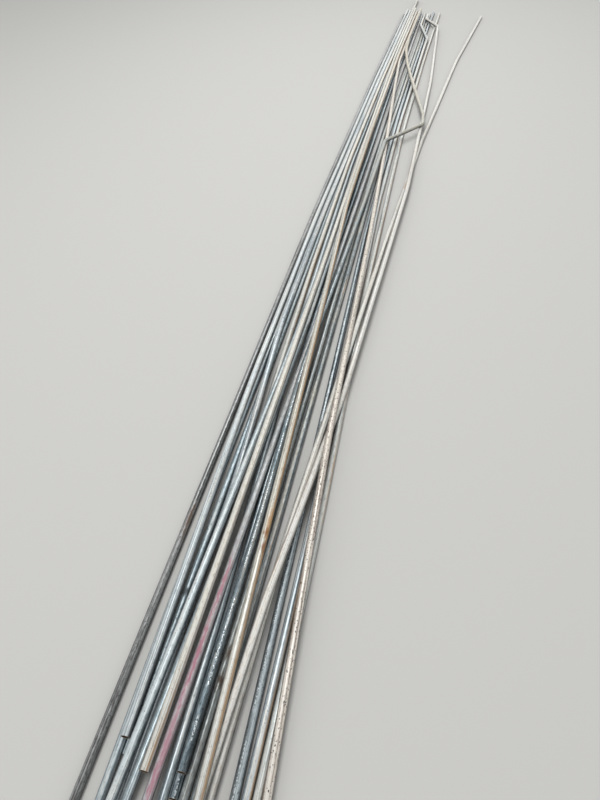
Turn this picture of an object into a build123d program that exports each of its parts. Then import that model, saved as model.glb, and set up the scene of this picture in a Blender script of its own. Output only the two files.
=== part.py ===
"""Loose bundle of thin galvanised steel pipes that lie across one another on level ground."""
from build123d import *
from bisect import bisect_left
from math import cos, radians, sqrt, tan
import os

# Sizes in mm
stock_length = 6000.0
outside_diameter = 19.05
wall = 1.5
clearance = 0.3
bend_radius = 60.0

pitch = outside_diameter + clearance
metre = stock_length / 6
floor_height = outside_diameter / 2
grid = metre / 100
hand_bend = radians(14)
slight_bend = radians(0.58)
fine = pitch / 200000

# Each route gives one pipe from its near end to its far end: metres along the bundle, then
# lanes across it, one lane being the width of a pipe. The pipes are laid in this order, so
# each one rests on the earlier ones that it crosses. The last point only gives a direction,
# because the far end falls where the stock length is used up.
routes = {
    "pipe_01": [(0.12, 10.98), (2.4, 10.98), (4.3, 9.475), (6.1, 7.075)],
    "pipe_02": [(0.05, 8.4), (0.8, 9.2), (2.4, 8.9), (4.3, 7.4), (6.1, 5.0)],
    "pipe_03": [(0.26, 7.6), (2.4, 7.85), (4.3, 6.35), (6.1, 3.95)],
    "pipe_04": [(0.286, 8.1), (1.3, 9.45), (2.4, 9.95), (4.3, 8.45), (6.1, 6.05)],
    "pipe_05": [(0.08, 2.6), (0.6, 2.95), (1.7, 5.3), (3.0, 6.3), (4.3, 5.3), (6.1, 2.9)],
    "pipe_06": [(0.21, 1.66), (0.62, 1.93), (1.5, 2.9), (2.4, 3.0), (4.3, 2.1), (6.1, -0.25)],
    "pipe_07": [(0.1, 0.7), (0.85, 0.4), (3.3, 0.2), (6.1, -3.4)],
    "pipe_08": [(0.13, -0.42), (0.7, -0.78), (3.3, -0.87), (6.1, -4.5)],
    "pipe_09": [(0.2, -4.1), (2.4, -2.1), (3.7, -2.5), (5.4, -4.65), (6.3, -6.35)],
    "pipe_10": [(0.16, -6.25), (0.8, -6.3), (1.9, -5.15), (3.4, -4.95), (4.8, -6.4), (6.2, -8.8)],
    "pipe_11": [(0.66, 5.2), (2.0, 6.8), (3.0, 6.9), (4.3, 5.85), (6.6, 2.7)],
    "pipe_12": [(0.1, 3.85), (1.7, 2.1), (4.3, 0.6), (6.1, -1.35)],
    "pipe_13": [
        (0.18, -5.2), (0.8, -5.2), (2.6, -3.3), (3.6, -3.6),
        (5.3, -5.9), (5.65, -2.2), (6.1, -2.4),
    ],
    "pipe_14": [(0.09, -1.6), (0.8, -2.75), (2.0, -6.2), (3.3, -10.6), (4.8, -18.1), (6.2, -27.8)],
    "pipe_15": [
        (0.07, -0.6), (0.6, -2.5), (1.3, -5.6), (2.7, -9.4), (4.3, -10.3),
        (5.63, -9.2), (5.88, -3.8), (6.1, -3.9),
    ],
    "pipe_16": [(0.17, 6.6), (0.9, 6.45), (1.6, 8.1), (2.4, 8.4), (4.3, 6.88), (6.1, 4.48)],
    "pipe_17": [(0.1, 7.2), (1.5, 4.9), (2.1, 4.65), (3.2, 5.05), (4.3, 4.2), (6.1, 1.85)],
    "pipe_18": [
        (0.12, 6.0), (0.62, 5.0), (1.6, 3.75), (2.1, 3.65),
        (3.2, 4.0), (4.3, 3.15), (6.1, 0.8),
    ],
    "pipe_19": [
        (0.11, -7.5), (1.1, -5.15), (2.3, -3.3), (3.3, -1.25),
        (4.1, 0.8), (4.7, 2.1), (6.1, 0.3),
    ],
    "pipe_20": [
        (0.25, 1.42), (0.85, 1.48), (1.4, 1.8), (2.5, -0.05), (3.22, -1.15), (3.49, -10.3),
        (3.63, -10.0), (4.25, -4.3), (4.65, -1.0), (4.95, 0.75), (5.2, 0.95), (6.2, -0.4),
    ],
    "pipe_21": [(0.236, 4.85), (1.3, 4.15), (2.1, 4.2), (3.2, 4.55), (4.9, 3.95), (6.1, 2.4)],
    "pipe_22": [(0.14, -1.4), (1.6, 1.3), (2.5, 3.5), (3.3, 3.7), (4.9, 2.9), (6.1, 1.35)],
}


def trim(points):
    """Move the last point so that the straight runs add up to the stock length"""
    used = sum((after - before).length for before, after in zip(points, points[1:]))
    direction = (points[-1] - points[-2]).normalized()
    return points[:-1] + [points[-1] + direction * (stock_length - used)]


def point_at(points, along):
    """Point of a pipe's axis at a distance along the bundle, with the cosine of its heading"""
    far = min(max(bisect_left([point.X for point in points], along), 1), len(points) - 1)
    run = points[far] - points[far - 1]
    share = (along - points[far - 1].X) / run.X
    return points[far - 1] + run * share, run.X / sqrt(run.X**2 + run.Y**2)


def resting_height(along, across, laid):
    """Lowest height at which a pipe clears the ground and every pipe already laid"""
    height = floor_height
    for other in laid:
        if other[0].X <= along <= other[-1].X:
            below, heading = point_at(other, along)
            sideways = abs(across - below.Y) * heading
            if sideways < pitch:
                height = max(height, below.Z + sqrt(pitch**2 - sideways**2))
    return height


def settle(plan, laid):
    """Heights for the corners of a plan route, so that the pipe just rests on what is below"""
    knots = [point.X for point in plan]
    steps = range(int(knots[0] / grid) + 1, int(knots[-1] / grid) + 1)
    stations = sorted({*knots, *(step * grid for step in steps)})
    supports = []
    for along in stations:
        far = min(max(bisect_left(knots, along), 1), len(knots) - 1)
        share = (along - knots[far - 1]) / (knots[far] - knots[far - 1])
        across = point_at(plan, along)[0].Y
        supports.append((far, share, resting_height(along, across, laid)))
    heights = [floor_height for _ in knots]

    def slack(support):
        far, share, needed = support
        return heights[far - 1] * (1 - share) + heights[far] * share - needed

    # Raise both corners of a run by the least that clears its worst support
    tightest = min(supports, key=slack)
    while slack(tightest) < -fine:
        far, share, _ = tightest
        lift = -slack(tightest) / ((1 - share) ** 2 + share**2)
        heights[far - 1] += lift * (1 - share)
        heights[far] += lift * share
        tightest = min(supports, key=slack)

    # Then let each corner down again as far as its two runs stay clear
    for _ in range(60):
        for corner in range(len(knots)):
            spare = []
            for support in supports:
                far, share, _ = support
                weight = share if far == corner else 1 - share if far == corner + 1 else 0
                if weight > fine:
                    spare.append(slack(support) / weight)
            heights[corner] -= max(min(spare, default=0), 0) / 2
    return [Vector(point.X, point.Y, height) for point, height in zip(plan, heights)]


def draw_centre_line(points):
    """Straight runs that meet in kinks, with an arc where a pipe was bent or hardly turns"""
    with BuildLine() as path:
        start = points[0]
        for before, corner, after in zip(points, points[1:], points[2:]):
            entering = (corner - before).normalized()
            leaving = (after - corner).normalized()
            turn = radians(entering.get_angle(leaving))
            if turn > hand_bend or turn < slight_bend:
                reach = bend_radius * tan(turn / 2) if turn > hand_bend else bend_radius
                arc_start = corner - entering * reach
                Line(start, arc_start)
                arc = TangentArc(arc_start, corner + leaving * reach, tangent=entering)
                start = arc @ 1
            else:
                Line(start, corner)
                start = corner
        used = sum(edge.length for edge in path.edges())
        direction = (points[-1] - start).normalized()
        Line(start, start + direction * (stock_length - used))
    return path


def make_pipe(path):
    """Open tube swept along its centre line"""
    with BuildPart() as pipe:
        with BuildSketch(Plane(origin=path.line @ 0, z_dir=path.line % 0)):
            Circle(outside_diameter / 2)
            Circle(outside_diameter / 2 - wall, mode=Mode.SUBTRACT)
        sweep(path=path.line, transition=Transition.RIGHT)
    return pipe.part


os.makedirs("parts", exist_ok=True)
laid = []
pipes = {}
for name, route in routes.items():
    plan = trim([Vector(along * metre, lane * pitch, 0) for along, lane in route])
    laid.append(settle(plan, laid))
    pipes[name] = make_pipe(draw_centre_line(laid[-1]))

# The origin is on the ground below the middle of the bundle
boxes = [pipe.bounding_box() for pipe in pipes.values()]
middle_x = (min(box.min.X for box in boxes) + max(box.max.X for box in boxes)) / 2
middle_y = (min(box.min.Y for box in boxes) + max(box.max.Y for box in boxes)) / 2
for name, pipe in pipes.items():
    placed = Pos(-middle_x, -middle_y, 0) * pipe
    placed.label = name
    export_step(placed, f"parts/{name}.step")
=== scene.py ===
"""Bundle of weathered galvanised steel pipes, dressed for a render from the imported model."""

import bmesh
import bpy
from math import cos, pi, radians, sin
from mathutils import Matrix, Vector


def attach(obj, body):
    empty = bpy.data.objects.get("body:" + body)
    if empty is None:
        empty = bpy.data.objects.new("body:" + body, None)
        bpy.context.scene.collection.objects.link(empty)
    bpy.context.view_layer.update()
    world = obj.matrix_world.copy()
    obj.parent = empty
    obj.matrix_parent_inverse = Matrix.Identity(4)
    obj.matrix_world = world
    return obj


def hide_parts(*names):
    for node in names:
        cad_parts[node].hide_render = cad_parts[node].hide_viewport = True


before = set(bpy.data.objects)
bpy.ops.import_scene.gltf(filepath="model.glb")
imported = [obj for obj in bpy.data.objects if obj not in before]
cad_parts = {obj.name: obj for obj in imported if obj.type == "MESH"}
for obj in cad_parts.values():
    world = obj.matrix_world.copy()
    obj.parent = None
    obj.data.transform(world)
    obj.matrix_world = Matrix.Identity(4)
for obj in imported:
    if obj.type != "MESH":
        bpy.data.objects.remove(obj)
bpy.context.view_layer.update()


# Camera
# It stands 1.3 m above the floor beside the near ends, and looks along the bundle and down
# at it.
camera = bpy.data.objects.new("camera", bpy.data.cameras.new("camera"))
camera.data.sensor_fit = "VERTICAL"
camera.data.sensor_height = 36.0
camera.data.lens = 27.0
camera.location = (-3.3543, -0.1463, 1.3)
camera.rotation_euler = (radians(45.589), radians(2.0783), radians(-77.922))
bpy.context.scene.collection.objects.link(camera)
bpy.context.scene.camera = camera


# Straight pipe
# Thin steel strip rolled to a tube, welded along its length and cut to stock length. Each
# pipe starts here as it leaves the saw, before it is bent to the way it lies.
PIPE_RADIUS = 0.00952
PIPE_WALL = 0.0015
SAW_BURR = 0.0003
RING_SIDES = 32
KINK_ALLOWANCE = 0.001
LONGEST_EASE = 0.3
SHORTEST_ROUND_EASE = 0.02


def middle_of(verts):
    """Middle of the box round some vertices"""
    low = Vector(min(vert.co[axis] for vert in verts) for axis in range(3))
    high = Vector(max(vert.co[axis] for vert in verts) for axis in range(3))
    return (low + high) / 2


def centre_line(name):
    """Middle of a pipe at its ends and at each bend, followed ring by ring in the frame"""
    shell = bmesh.new()
    shell.from_mesh(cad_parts[name].data)
    bmesh.ops.remove_doubles(shell, verts=shell.verts, dist=1e-6)
    near = min(vert.co.x for vert in shell.verts)
    end_face = {vert for vert in shell.verts if vert.co.x < near + 0.3 * PIPE_RADIUS}
    middle = middle_of(end_face)
    ring = {vert for vert in end_face if (vert.co - middle).length > PIPE_RADIUS - PIPE_WALL / 2}
    passed = set(end_face)
    points = []
    while ring:
        middle = middle_of(ring)
        if max((vert.co - middle).length for vert in ring) < PIPE_RADIUS - PIPE_WALL / 2:
            break
        points.append(middle)
        passed |= ring
        beyond = {edge.other_vert(vert) for vert in ring for edge in vert.link_edges} - passed
        ring = {vert for vert in beyond if vert.co.x > near}
    shell.free()
    return points


def eased(points):
    """Centre line whose kinks are rounded as far as they stay within the allowance"""
    line = [points[0]]
    for before, corner, after in zip(points, points[1:], points[2:]):
        run_in = corner - before
        run_out = after - corner
        turn = max(run_in.angle(run_out), 1e-4)
        reach = min(
            0.45 * run_in.length, 0.45 * run_out.length, 4 * KINK_ALLOWANCE / turn, LONGEST_EASE
        )
        start = corner - run_in.normalized() * reach
        end = corner + run_out.normalized() * reach
        steps = 8 if reach > SHORTEST_ROUND_EASE else 2
        for step in range(steps + 1):
            share = step / steps
            line.append(start.lerp(corner, share).lerp(corner.lerp(end, share), share))
    line.append(points[-1])
    return line


def roll_tube(lengths):
    """Straight tube along X with a ring at each length, and the saw's burr on its rims"""
    tube = bmesh.new()
    facing = Matrix.Rotation(radians(90), 4, "Y")
    bmesh.ops.create_circle(tube, segments=RING_SIDES, radius=PIPE_RADIUS, matrix=facing)
    edges = list(tube.edges)
    for before, after in zip(lengths, lengths[1:]):
        grown = bmesh.ops.extrude_edge_only(tube, edges=edges)["geom"]
        moved = [item for item in grown if isinstance(item, bmesh.types.BMVert)]
        bmesh.ops.translate(tube, vec=(after - before, 0, 0), verts=moved)
        edges = [item for item in grown if isinstance(item, bmesh.types.BMEdge)]
    bmesh.ops.recalc_face_normals(tube, faces=tube.faces)
    centre = tube.faces[0].calc_center_median()
    if tube.faces[0].normal.dot(Vector((0, centre.y, centre.z))) < 0:
        bmesh.ops.reverse_faces(tube, faces=tube.faces)
    bmesh.ops.solidify(tube, geom=tube.faces, thickness=PIPE_WALL)
    for face in tube.faces:
        face.smooth = True
    rims = [
        edge for edge in tube.edges
        if len({round(vert.co.x, 6) for vert in edge.verts}) == 1
        and min(abs(edge.verts[0].co.x), abs(edge.verts[0].co.x - lengths[-1])) < 1e-5
        and edge.calc_face_angle(0) > 1
    ]
    bmesh.ops.bevel(
        tube, geom=rims, offset=SAW_BURR, segments=1, profile=0.5, affect="EDGES", material=-1
    )
    return tube


def lay_pipe(name, coat):
    """Tube rolled straight, then bent along the pipe's centre line and given its finishes"""
    line = eased(centre_line(name))
    lengths = [0.0]
    for before, after in zip(line, line[1:]):
        lengths.append(lengths[-1] + (after - before).length)
    tube = roll_tube(lengths)
    for face in tube.faces:
        centre = face.calc_center_median()
        outward = face.normal.dot(Vector((0, centre.y, centre.z)).normalized())
        face.material_index = 2 if abs(face.normal.x) > 0.4 else 1 if outward < -0.5 else 0
    stock = tube.verts.layers.float_vector.new("stock")
    tangents = [(after - before).normalized() for before, after in zip(line, line[1:])]
    inner = [(before + after).normalized() for before, after in zip(tangents, tangents[1:])]
    at_station = [tangents[0]] + inner + [tangents[-1]]
    run = 0
    for vert in sorted(tube.verts, key=lambda vert: vert.co.x):
        vert[stock] = vert.co
        while run < len(line) - 2 and vert.co.x > lengths[run + 1]:
            run += 1
        share = (vert.co.x - lengths[run]) / (lengths[run + 1] - lengths[run])
        along = at_station[run].lerp(at_station[run + 1], share).normalized()
        left = Vector((0, 0, 1)).cross(along).normalized()
        up = along.cross(left)
        vert.co = line[run].lerp(line[run + 1], share) + left * vert.co.y + up * vert.co.z
    mesh = bpy.data.meshes.new(name + "_tube")
    tube.to_mesh(mesh)
    tube.free()
    for finish in (coat, shaded_rusty_bore, sawn_steel):
        mesh.materials.append(finish)
    piece = bpy.data.objects.new(name + "_tube", mesh)
    bpy.context.scene.collection.objects.link(piece)
    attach(piece, "root")
    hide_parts(name)


# Sawn ends and bores
# Bare mild steel. The saw leaves fine arcs that rust to tan within days, and the bore keeps
# its mill scale, brown with rust dust, on a near-black colour that is painted shade inside
# the tube.
def linear(hex_colour):
    """sRGB hex colour as linear values"""
    parts = [int(hex_colour[place:place + 2], 16) / 255 for place in (1, 3, 5)]
    return (*(part / 12.92 if part <= 0.04045 else ((part + 0.055) / 1.055) ** 2.4 for part in parts), 1.0)


def add(tree, kind, inputs, **settings):
    """Adds a node with its settings, sets or links its inputs, and gives its output"""
    node = tree.nodes.new(kind)
    for setting, value in settings.items():
        setattr(node, setting, value)
    for socket, value in inputs.items():
        if isinstance(value, bpy.types.NodeSocket):
            tree.links.new(value, node.inputs[socket])
        else:
            node.inputs[socket].default_value = value
    return next(output for output in node.outputs if output.enabled)


sawn_steel = bpy.data.materials.new("sawn_mild_steel")
sawn_steel.use_nodes = True
tree = sawn_steel.node_tree
shader = tree.nodes["Principled BSDF"]
place = add(tree, "ShaderNodeTexCoord", {}).node.outputs["Object"]
# Saw arcs are 0.1 mm apart; drawn 1 mm apart so that they show
arcs = add(tree, "ShaderNodeTexWave", {"Vector": place, "Scale": 300.0, "Distortion": 3.0},
           bands_direction="DIAGONAL")
blots = add(tree, "ShaderNodeTexNoise", {"Vector": place, "Scale": 500.0, "Detail": 3.0})
bloom = add(tree, "ShaderNodeMapRange", {0: blots, 1: 0.42, 2: 0.62})
metal = add(tree, "ShaderNodeMix", {0: arcs, 6: linear("#aeaba4"), 7: linear("#c6c3bc")}, data_type="RGBA")
rusted = add(tree, "ShaderNodeMix", {0: bloom, 6: metal, 7: linear("#a98e6e")}, data_type="RGBA")
tree.links.new(rusted, shader.inputs["Base Color"])
tree.links.new(add(tree, "ShaderNodeMapRange", {0: bloom, 3: 0.6, 4: 0.1}), shader.inputs["Metallic"])
tree.links.new(add(tree, "ShaderNodeMapRange", {0: bloom, 3: 0.38, 4: 0.8}), shader.inputs["Roughness"])
tree.links.new(
    add(tree, "ShaderNodeBump", {"Height": arcs, "Strength": 0.3, "Distance": 0.0001}),
    shader.inputs["Normal"],
)

shaded_rusty_bore = bpy.data.materials.new("mill_scale_and_painted_shade")
shaded_rusty_bore.use_nodes = True
tree = shaded_rusty_bore.node_tree
shader = tree.nodes["Principled BSDF"]
place = add(tree, "ShaderNodeTexCoord", {}).node.outputs["Object"]
crust = add(tree, "ShaderNodeTexNoise", {"Vector": place, "Scale": 260.0, "Detail": 4.0, "Roughness": 0.6})
patches = add(tree, "ShaderNodeMapRange", {0: crust, 1: 0.4, 2: 0.65})
# Painted shade: the bore runs from near black, in place of the shade inside the tube, to rust brown in
# patches
scale_and_shade_colour = add(
    tree, "ShaderNodeMix", {0: patches, 6: linear("#2a2624"), 7: linear("#5e4129")}, data_type="RGBA"
)
tree.links.new(scale_and_shade_colour, shader.inputs["Base Color"])
shader.inputs["Metallic"].default_value = 0.2
tree.links.new(add(tree, "ShaderNodeMapRange", {0: patches, 3: 0.5, 4: 0.85}), shader.inputs["Roughness"])
tree.links.new(
    add(tree, "ShaderNodeBump", {"Height": crust, "Strength": 0.4, "Distance": 0.0002}),
    shader.inputs["Normal"],
)


# Weathered zinc
# Hot-dip zinc on rolled strip, left outdoors. Where it is clean it is blue-grey with a soft
# gloss drawn out along the pipe. Mortar dust dries on top as a dull pale film, the flanks
# carry painted shade with some grime, and the weld seam bleeds rust.
# Each pipe gives the colour of the painted shade, with grime, on its flanks and underside.
def weathered_zinc(number, bands, film, dusted, shade_and_grime="#33322f", glint="#dde4e6", mottle=0.45,
                   gloss=0.34, specks=0.3, seam=200, bleed=0.2, stains=(), ticks=None):
    """Zinc coat of one pipe, from its dark, middle, light and odd colour to its stains"""
    material = bpy.data.materials.new("weathered_zinc_" + number)
    material.use_nodes = True
    tree = material.node_tree
    shader = tree.nodes["Principled BSDF"]

    # Place on the straight pipe: metres along it, and across its section. Each pipe reads
    # its own stretch of the patterns.
    stock = add(tree, "ShaderNodeAttribute", {}, attribute_name="stock").node.outputs["Vector"]
    own = add(tree, "ShaderNodeVectorMath", {0: stock, 1: (int(number) * 7.31, 0, 0)}, operation="ADD")
    along, left, up = add(tree, "ShaderNodeSeparateXYZ", {0: stock}).node.outputs
    angle = add(tree, "ShaderNodeMath", {0: up, 1: left}, operation="ARCTAN2")

    # Rolling streaks 4 to 6 mm wide and metres long
    drawn = add(tree, "ShaderNodeVectorMath", {0: own, 1: (0.9, 190, 190)}, operation="MULTIPLY")
    streak = add(tree, "ShaderNodeTexNoise", {"Vector": drawn, "Scale": 1.0, "Detail": 2.5})
    coat = add(tree, "ShaderNodeValToRGB", {0: streak})
    ramp = coat.node.color_ramp
    ramp.elements[0].position = 0.3
    ramp.elements[0].color = linear(bands[0])
    ramp.elements[1].position = 0.72
    ramp.elements[1].color = linear(bands[3])
    ramp.elements.new(0.44).color = linear(bands[1])
    ramp.elements.new(0.58).color = linear(bands[2])

    # Chalky clouds a hand wide
    drawn = add(tree, "ShaderNodeVectorMath", {0: own, 1: (5, 60, 60)}, operation="MULTIPLY")
    cloud = add(tree, "ShaderNodeTexNoise", {"Vector": drawn, "Scale": 1.0, "Detail": 4.0, "Roughness": 0.62})
    chalk = add(tree, "ShaderNodeMapRange", {0: cloud, 1: 0.42, 2: 0.72, 4: 0.55})
    colour = add(tree, "ShaderNodeMix", {0: chalk, 6: coat, 7: linear(bands[2])}, data_type="RGBA")

    # Dust film, thickest on top and towards the far end, torn into runs 2 to 3 mm wide
    drawn = add(tree, "ShaderNodeVectorMath", {0: own, 1: (2.2, 330, 330)}, operation="MULTIPLY")
    runs = add(tree, "ShaderNodeTexNoise", {"Vector": drawn, "Scale": 1.0, "Detail": 4.0, "Roughness": 0.6})
    on_top = add(tree, "ShaderNodeMapRange", {0: up, 1: -PIPE_RADIUS, 2: PIPE_RADIUS, 3: -0.35, 4: 0.12})
    laid = add(tree, "ShaderNodeMath", {0: runs, 1: cloud}, operation="ADD")
    laid = add(tree, "ShaderNodeMath", {0: laid, 1: on_top}, operation="ADD")
    laid = add(tree, "ShaderNodeMath", {0: along, 1: 0.035, 2: laid}, operation="MULTIPLY_ADD")
    dust = add(
        tree, "ShaderNodeMapRange", {0: laid, 1: 1.3 - 0.55 * dusted, 2: 1.5 - 0.55 * dusted, 4: 0.9},
        interpolation_type="SMOOTHSTEP",
    )
    colour = add(tree, "ShaderNodeMix", {0: dust, 6: colour, 7: linear(film)}, data_type="RGBA")

    # Zinc spangle and wiped dirt, in patches 4 mm wide and 15 mm long, paler and darker than
    # the coat
    drawn = add(tree, "ShaderNodeVectorMath", {0: own, 1: (62, 240, 240)}, operation="MULTIPLY")
    patch = add(tree, "ShaderNodeTexNoise", {"Vector": drawn, "Scale": 1.0, "Detail": 3.0, "Roughness": 0.65})
    pale = add(tree, "ShaderNodeMapRange", {0: patch, 1: 0.5, 2: 0.66, 4: mottle})
    colour = add(tree, "ShaderNodeMix", {0: pale, 6: colour, 7: linear(glint)}, data_type="RGBA")
    smear = add(tree, "ShaderNodeMapRange", {0: patch, 1: 0.47, 2: 0.33, 4: mottle})
    colour = add(tree, "ShaderNodeMix", {0: smear, 6: colour, 7: linear(bands[0])}, data_type="RGBA")

    # Draw marks and rubbed lines, dark and pale, a quarter of a millimetre wide; drawn 2 mm
    # wide so that they show
    drawn = add(tree, "ShaderNodeVectorMath", {0: own, 1: (1.3, 480, 480)}, operation="MULTIPLY")
    lines = add(tree, "ShaderNodeTexNoise", {"Vector": drawn, "Scale": 1.0, "Detail": 1.0})
    worn = add(tree, "ShaderNodeMapRange", {0: lines, 1: 0.57, 2: 0.68, 4: 0.6})
    colour = add(tree, "ShaderNodeMix", {0: worn, 6: colour, 7: linear(bands[0])}, data_type="RGBA")
    rubbed = add(tree, "ShaderNodeMapRange", {0: lines, 1: 0.43, 2: 0.32, 4: 0.7})
    colour = add(tree, "ShaderNodeMix", {0: rubbed, 6: colour, 7: linear(glint)}, data_type="RGBA")

    # Painted shade, with grime, on the flanks and underneath: darkened almost to black in place of the shade
    # between the pipes
    shifted = add(tree, "ShaderNodeMath", {0: streak, 1: 0.004, 2: up}, operation="MULTIPLY_ADD")
    flank = add(
        tree, "ShaderNodeMapRange", {0: shifted, 1: 0.0078, 2: 0.0012, 4: 0.97},
        interpolation_type="SMOOTHSTEP",
    )
    colour = add(tree, "ShaderNodeMix", {0: flank, 6: colour, 7: linear(shade_and_grime)}, data_type="RGBA")

    # Dirt specks, 1 to 3 mm across; drawn half as large again so that they show
    drawn = add(tree, "ShaderNodeVectorMath", {0: own, 1: (200, 270, 270)}, operation="MULTIPLY")
    grain = add(tree, "ShaderNodeTexNoise", {"Vector": drawn, "Scale": 1.0, "Detail": 1.5})
    sparse = 0.675 - 0.05 * specks
    speck = add(tree, "ShaderNodeMapRange", {0: grain, 1: sparse, 2: sparse + 0.04, 4: specks})
    colour = add(tree, "ShaderNodeMix", {0: speck, 6: colour, 7: linear("#2b2724")}, data_type="RGBA")

    # Weld seam, 1.5 mm wide, and the rust that bleeds from it here and there
    from_seam = add(tree, "ShaderNodeMath", {0: angle, 1: radians(seam), 2: 0.0}, operation="SUBTRACT")
    from_seam = add(tree, "ShaderNodeMath", {0: from_seam, 1: -pi, 2: pi}, operation="WRAP")
    from_seam = add(tree, "ShaderNodeMath", {0: from_seam}, operation="ABSOLUTE")
    weld = add(tree, "ShaderNodeMapRange", {0: from_seam, 1: 0.05, 2: 0.13, 3: 0.6, 4: 0.0})
    colour = add(tree, "ShaderNodeMix", {0: weld, 6: colour, 7: linear(bands[0])}, data_type="RGBA")
    drawn = add(tree, "ShaderNodeVectorMath", {0: own, 1: (2.6, 110, 110)}, operation="MULTIPLY")
    damp = add(tree, "ShaderNodeTexNoise", {"Vector": drawn, "Scale": 1.0, "Detail": 5.0, "Roughness": 0.7})
    wet = add(tree, "ShaderNodeMapRange", {0: damp, 1: 0.62 - 0.2 * bleed, 2: 0.72 - 0.2 * bleed})
    close = add(tree, "ShaderNodeMapRange", {0: from_seam, 1: 0.08, 2: 0.5, 3: 0.75, 4: 0.0})
    rust = add(tree, "ShaderNodeMath", {0: wet, 1: close}, operation="MULTIPLY")
    ochre = add(
        tree, "ShaderNodeMix", {0: grain, 6: linear("#8a6235"), 7: linear("#c0935a")}, data_type="RGBA"
    )
    colour = add(tree, "ShaderNodeMix", {0: rust, 6: colour, 7: ochre}, data_type="RGBA")

    # Stains: metres along, length, angle, spread in degrees, colour, cover
    for start, length, at, spread, stain, cover in stains:
        reach = add(tree, "ShaderNodeMath", {0: along, 1: start + length / 2}, operation="SUBTRACT")
        reach = add(tree, "ShaderNodeMath", {0: reach, 1: 2 / length}, operation="MULTIPLY")
        turn = add(tree, "ShaderNodeMath", {0: angle, 1: radians(at)}, operation="SUBTRACT")
        turn = add(tree, "ShaderNodeMath", {0: turn, 1: -pi, 2: pi}, operation="WRAP")
        turn = add(tree, "ShaderNodeMath", {0: turn, 1: 1 / radians(spread)}, operation="MULTIPLY")
        spot = add(tree, "ShaderNodeCombineXYZ", {0: reach, 1: turn})
        away = add(tree, "ShaderNodeVectorMath", {0: spot}, operation="LENGTH")
        ragged = add(tree, "ShaderNodeMath", {0: damp, 1: 1.6, 2: away}, operation="MULTIPLY_ADD")
        ragged = add(tree, "ShaderNodeMath", {0: patch, 1: 1.8, 2: ragged}, operation="MULTIPLY_ADD")
        blot = add(
            tree, "ShaderNodeMapRange", {0: ragged, 1: 1.9, 2: 2.8, 3: cover, 4: 0.0},
            interpolation_type="SMOOTHSTEP",
        )
        colour = add(tree, "ShaderNodeMix", {0: blot, 6: colour, 7: linear(stain)}, data_type="RGBA")
        dust = add(tree, "ShaderNodeMath", {0: dust, 1: blot}, operation="MAXIMUM")

    # Ink: a row of jet-printed dots worn past reading, between two places along the pipe
    if ticks:
        at, ink, first, last = ticks
        turn = add(tree, "ShaderNodeMath", {0: angle, 1: radians(at)}, operation="SUBTRACT")
        turn = add(tree, "ShaderNodeMath", {0: turn}, operation="ABSOLUTE")
        row = add(tree, "ShaderNodeMapRange", {0: turn, 1: 0.14, 2: 0.3, 3: 0.9, 4: 0.0})
        drawn = add(tree, "ShaderNodeVectorMath", {0: own, 1: (260, 420, 420)}, operation="MULTIPLY")
        dots = add(tree, "ShaderNodeTexNoise", {"Vector": drawn, "Scale": 1.0, "Detail": 0.0})
        dots = add(tree, "ShaderNodeMapRange", {0: dots, 1: 0.5, 2: 0.56})
        drawn = add(tree, "ShaderNodeVectorMath", {0: own, 1: (11, 1, 1)}, operation="MULTIPLY")
        groups = add(tree, "ShaderNodeTexNoise", {"Vector": drawn, "Scale": 1.0, "Detail": 1.0})
        groups = add(tree, "ShaderNodeMapRange", {0: groups, 1: 0.44, 2: 0.48})
        begun = add(tree, "ShaderNodeMath", {0: along, 1: first}, operation="GREATER_THAN")
        ended = add(tree, "ShaderNodeMath", {0: along, 1: last}, operation="LESS_THAN")
        printed = add(tree, "ShaderNodeMath", {0: begun, 1: ended}, operation="MULTIPLY")
        for part in (row, dots, groups):
            printed = add(tree, "ShaderNodeMath", {0: printed, 1: part}, operation="MULTIPLY")
        colour = add(tree, "ShaderNodeMix", {0: printed, 6: colour, 7: linear(ink)}, data_type="RGBA")

    # Dust, rust and the flanks with their painted shade and grime are dull, clean zinc is not
    dull = add(tree, "ShaderNodeMath", {0: dust, 1: rust}, operation="MAXIMUM")
    dull = add(tree, "ShaderNodeMath", {0: dull, 1: flank}, operation="MAXIMUM")
    tree.links.new(colour, shader.inputs["Base Color"])
    metallic = add(tree, "ShaderNodeMapRange", {0: dull, 1: 0.0, 2: 0.9, 3: 0.66, 4: 0.12})
    tree.links.new(metallic, shader.inputs["Metallic"])
    dryness = add(tree, "ShaderNodeMapRange", {0: dull, 1: 0.0, 2: 0.9, 3: gloss, 4: 0.52})
    rough = add(tree, "ShaderNodeMath", {0: lines, 1: 0.18, 2: dryness}, operation="MULTIPLY_ADD")
    rough = add(tree, "ShaderNodeMath", {0: rough, 1: 0.09}, operation="SUBTRACT")
    tree.links.new(rough, shader.inputs["Roughness"])
    height = add(tree, "ShaderNodeMath", {0: dust, 1: 0.4, 2: weld}, operation="MULTIPLY_ADD")
    height = add(tree, "ShaderNodeMath", {0: grain, 1: 0.3, 2: height}, operation="MULTIPLY_ADD")
    bump = add(tree, "ShaderNodeBump", {"Height": height, "Strength": 0.4, "Distance": 0.0002})
    tree.links.new(bump, shader.inputs["Normal"])
    return material


# Dirty outer pipe
# The oldest of them. Dirt has dried dark grey over all of its zinc, and it has a rust patch a
# hand long.
lay_pipe("pipe_01", weathered_zinc(
    "01", bands=("#323130", "#5d5d5c", "#8f9192", "#7b7975"), film="#a7a8a6", dusted=0.3, shade_and_grime="#242322",
    glint="#babdbd", gloss=0.42, specks=0.7, stains=[(0.61, 0.13, 120, 60, "#654c3a", 0.65)]))

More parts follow.
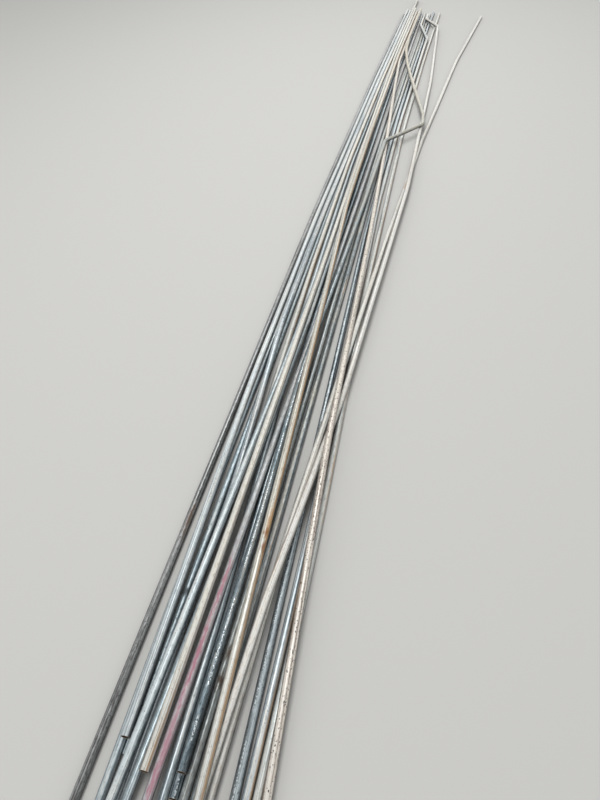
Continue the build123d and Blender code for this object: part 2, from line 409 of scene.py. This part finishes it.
# Clean pipes
# Zinc that has kept its blue-grey and its soft gloss, with thin pale runs of dust.
lay_pipe("pipe_02", weathered_zinc(
    "02", bands=("#67747d", "#9dabb2", "#c8d4d9", "#b2bbbd"), film="#dcdeda", dusted=0.35, shade_and_grime="#2b3033"))
lay_pipe("pipe_03", weathered_zinc(
    "03", bands=("#46545c", "#83939b", "#b6c4ca", "#b9c1c3"), film="#d4d7d3", dusted=0.2, shade_and_grime="#20262a",
    specks=0.6, stains=[(0.33, 0.03, 90, 170, "#2c3236", 0.8), (1.02, 0.03, 90, 170, "#2c3236", 0.7)]))
lay_pipe("pipe_05", weathered_zinc(
    "05", bands=("#616f77", "#9eabb1", "#ccd6da", "#bcc4c5"), film="#dfe0dc", dusted=0.25, shade_and_grime="#282d30"))
lay_pipe("pipe_08", weathered_zinc(
    "08", bands=("#4b5356", "#859196", "#b4bdc0", "#b3aa9a"), film="#c2bcae", dusted=0.3, shade_and_grime="#25282a",
    seam=120, bleed=0.4))
lay_pipe("pipe_16", weathered_zinc(
    "16", bands=("#5f696f", "#98a4ab", "#c4cdd2", "#bfbbb9"), film="#dbdad5", dusted=0.4, shade_and_grime="#2b2d2f",
    gloss=0.38, specks=0.5))
lay_pipe("pipe_17", weathered_zinc(
    "17", bands=("#55626a", "#96a3a9", "#c8d2d6", "#b4b8b7"), film="#dcddd7", dusted=0.3, shade_and_grime="#252b2f",
    specks=0.5))
lay_pipe("pipe_18", weathered_zinc(
    "18", bands=("#50606a", "#92a1a7", "#c8d2d6", "#c6cccc"), film="#e0e2dd", dusted=0.3, shade_and_grime="#242b2f",
    gloss=0.32))

# Ink-marked pipes
# Darker zinc, jet-printed along one side at the mill. The ink has worn to dots.
lay_pipe("pipe_06", weathered_zinc(
    "06", bands=("#2f393e", "#53616a", "#818f97", "#8a9091"), film="#a8abaa", dusted=0.15, shade_and_grime="#1c2124",
    glint="#c3ccd0", specks=0.6, ticks=(105, "#c9d1d4", 0.0, 1.6)))
lay_pipe("pipe_09", weathered_zinc(
    "09", bands=("#343e45", "#5f6a70", "#9ba5aa", "#a8afb2"), film="#babdbb", dusted=0.15, shade_and_grime="#1d2226",
    glint="#c9d3d8", specks=0.6, ticks=(75, "#dfe5e8", 0.0, 1.5)))
lay_pipe("pipe_20", weathered_zinc(
    "20", bands=("#303b42", "#52626b", "#87979f", "#9c9789"), film="#bdb6a8", dusted=0.2, shade_and_grime="#1f2427",
    glint="#bcc7cb", specks=0.8, ticks=(100, "#dfe4e6", 0.05, 1.9),
    stains=[(1.9, 7.0, 90, 170, "#d0c7b5", 0.9)]))

# Cement-dusted pipes
# Mortar dust that set in the rain as a cream film, thick on top and worn through in lines
# where the pipes rubbed together.
lay_pipe("pipe_04", weathered_zinc(
    "04", bands=("#70797e", "#a9b3b9", "#d2dade", "#bebab1"), film="#dddfda", dusted=0.5, shade_and_grime="#303334",
    gloss=0.38, seam=15, bleed=0.2))
lay_pipe("pipe_10", weathered_zinc(
    "10", bands=("#7a807f", "#b1b7b6", "#d8dedd", "#c6b79e"), film="#e3e1d9", dusted=0.5, shade_and_grime="#39362f",
    gloss=0.4, seam=140, bleed=0.9))
lay_pipe("pipe_11", weathered_zinc(
    "11", bands=("#78746c", "#b1aea6", "#d8d6d1", "#c5b394"), film="#e2dfd5", dusted=0.6, shade_and_grime="#38352f",
    gloss=0.42, seam=145, bleed=0.8))
lay_pipe("pipe_13", weathered_zinc(
    "13", bands=("#6b757b", "#a4b1b8", "#d5dee3", "#c7b499"), film="#dfdfd9", dusted=0.45, shade_and_grime="#2f3133",
    gloss=0.36, seam=145, bleed=1.1))
lay_pipe("pipe_14", weathered_zinc(
    "14", bands=("#85807a", "#bdb9b3", "#e2e0dc", "#ccbfae"), film="#e6e2d8", dusted=0.6, shade_and_grime="#3d3934",
    gloss=0.42, stains=[(2.62, 0.12, 90, 60, "#ac8860", 0.6)]))
lay_pipe("pipe_15", weathered_zinc(
    "15", bands=("#87827c", "#bebab5", "#e3e1de", "#d1c4b8"), film="#e7e3da", dusted=0.55, shade_and_grime="#3d3934",
    gloss=0.42, seam=50, bleed=0.3))
lay_pipe("pipe_19", weathered_zinc(
    "19", bands=("#7d736b", "#b9aea4", "#dfd8d1", "#cab19e"), film="#e2dbcf", dusted=0.55, shade_and_grime="#3c3631",
    glint="#ece8e2", gloss=0.45, specks=0.95, seam=35, bleed=0.4))
lay_pipe("pipe_21", weathered_zinc(
    "21", bands=("#807b73", "#b8b3aa", "#dddad4", "#c9b69a"), film="#e3dfd3", dusted=0.6, shade_and_grime="#3c3832",
    gloss=0.43, seam=130, bleed=0.4))

# Stained pipes
# One has grey-green zinc with brown blots, one was rubbed with red primer over its near
# stretch, and one rusts along its weld and in two spots.
lay_pipe("pipe_07", weathered_zinc(
    "07", bands=("#4c5150", "#7f8686", "#abb1b0", "#a09d92"), film="#b0b0a9", dusted=0.4, shade_and_grime="#2a2c28",
    gloss=0.4, stains=[(0.305, 0.046, 118, 75, "#4a392b", 0.95), (0.363, 0.046, 112, 70, "#4f3c2c", 0.95)]))
lay_pipe("pipe_12", weathered_zinc(
    "12", bands=("#606164", "#8f9195", "#bbbfc2", "#a8a09b"), film="#b5b1ac", dusted=0.4, shade_and_grime="#302e30",
    gloss=0.4,
    stains=[(-0.1, 0.75, 90, 140, "#c2adb3", 0.5), (-0.1, 0.24, 95, 55, "#ba909c", 0.6),
            (0.02, 0.3, 102, 48, "#ad6e80", 0.7), (0.22, 0.26, 95, 42, "#a8667a", 0.8),
            (0.42, 0.2, 100, 40, "#ad6f80", 0.75)]))
lay_pipe("pipe_22", weathered_zinc(
    "22", bands=("#727066", "#aaa69b", "#d0cdc5", "#c2aa82"), film="#dad5c7", dusted=0.5, shade_and_grime="#37342d",
    gloss=0.42, seam=140, bleed=1.3,
    stains=[(0.60, 0.11, 125, 60, "#b98d55", 0.6), (0.606, 0.035, 120, 45, "#8c5c2e", 0.9),
            (0.562, 0.04, 122, 45, "#835630", 0.9)]))


# Floor and light
# Plain pale floor with an even grey sky and one broad lamp, so that the colours render about
# as they are written. A panel past the far ends shows only in gloss.
floor_mesh = bpy.data.meshes.new("floor")
sheet = bmesh.new()
bmesh.ops.create_grid(sheet, x_segments=1, y_segments=1, size=60.0)
sheet.to_mesh(floor_mesh)
sheet.free()
floor = bpy.data.objects.new("floor", floor_mesh)
bpy.context.scene.collection.objects.link(floor)
pale = bpy.data.materials.new("pale_floor")
pale.use_nodes = True
pale.node_tree.nodes["Principled BSDF"].inputs["Base Color"].default_value = linear("#cdccc9")
pale.node_tree.nodes["Principled BSDF"].inputs["Roughness"].default_value = 0.9
floor.data.materials.append(pale)

sky = bpy.data.worlds.new("grey_sky")
bpy.context.scene.world = sky
sky.use_nodes = True
backdrop = sky.node_tree.nodes["Background"]
rays = add(sky.node_tree, "ShaderNodeLightPath", {}).node.outputs
seen = add(
    sky.node_tree, "ShaderNodeMath", {0: rays["Is Camera Ray"], 1: rays["Is Transmission Ray"]},
    operation="MAXIMUM",
)
seen = add(sky.node_tree, "ShaderNodeMath", {0: seen, 1: rays["Is Glossy Ray"]}, operation="MAXIMUM")
strength = add(sky.node_tree, "ShaderNodeMapRange", {0: seen, 3: 0.66, 4: 1.0})
backdrop.inputs["Color"].default_value = linear("#eff0ef")
sky.node_tree.links.new(strength, backdrop.inputs["Strength"])

lamp = bpy.data.objects.new("overcast_lamp", bpy.data.lights.new("overcast_lamp", "AREA"))
lamp.data.shape = "RECTANGLE"
lamp.data.size = 9.0
lamp.data.size_y = 1.6
lamp.data.energy = 160.0
lamp.location = (0.0, 0.6, 4.5)
bpy.context.scene.collection.objects.link(lamp)

panel = bpy.data.objects.new("horizon_panel", bpy.data.lights.new("horizon_panel", "AREA"))
panel.data.shape = "RECTANGLE"
panel.data.size = 14.0
panel.data.size_y = 5.0
panel.data.energy = 400.0
panel.location = (16.0, 0.0, 4.0)
panel.rotation_euler = (radians(90), 0.0, radians(90))
panel.visible_camera = False
panel.visible_diffuse = False
bpy.context.scene.collection.objects.link(panel)

bpy.context.scene.view_settings.view_transform = "Standard"
